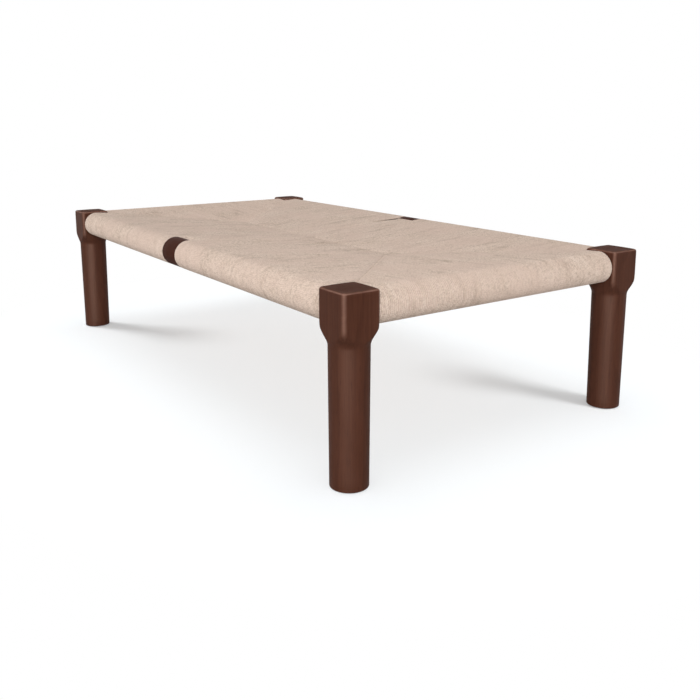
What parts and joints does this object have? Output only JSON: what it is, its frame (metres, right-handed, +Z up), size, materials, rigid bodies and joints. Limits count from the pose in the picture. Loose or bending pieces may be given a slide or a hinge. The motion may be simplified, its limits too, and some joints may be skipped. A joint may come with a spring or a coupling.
{
  "type": "low table",
  "caption": "Low rectangular table: turned wooden legs with square tops, round rails wrapped in paper cord, and a gently dished top woven from the same cord.",
  "frame": {"origin": "on the floor, under the middle of the top", "axes": "+X along the table's length, +Y across it, +Z up"},
  "size_m": [1.524, 0.824, 0.378],
  "materials": {
    "stained_wood": "dark brown stain, satin",
    "plain_wood": "planed, unfinished",
    "paper_cord": "twisted paper cord, matte",
    "nylon": "moulded, matte",
    "tack_steel": "plain steel"
  },
  "bodies": {
    "root": {"leg_right_back": "stained_wood", "glide_right_back": "nylon", "leg_left_back": "stained_wood", "glide_left_back": "nylon", "leg_left_front": "stained_wood", "glide_left_front": "nylon", "leg_right_front": "stained_wood", "glide_right_front": "nylon", "rail_front": "stained_wood", "cord_front_right": "paper_cord", "cord_front_left": "paper_cord", "tack_front_right": "tack_steel", "tack_front_left": "tack_steel", "rail_back": "stained_wood", "cord_back_left": "paper_cord", "cord_back_right": "paper_cord", "tack_back_left": "tack_steel", "tack_back_right": "tack_steel", "rail_right": "stained_wood", "cord_right": "paper_cord", "tack_right_back": "tack_steel", "tack_right_front": "tack_steel", "rail_left": "stained_wood", "cord_left": "paper_cord", "tack_left_front": "tack_steel", "tack_left_back": "tack_steel", "stretcher": "plain_wood"}
  },
  "joints": []
}
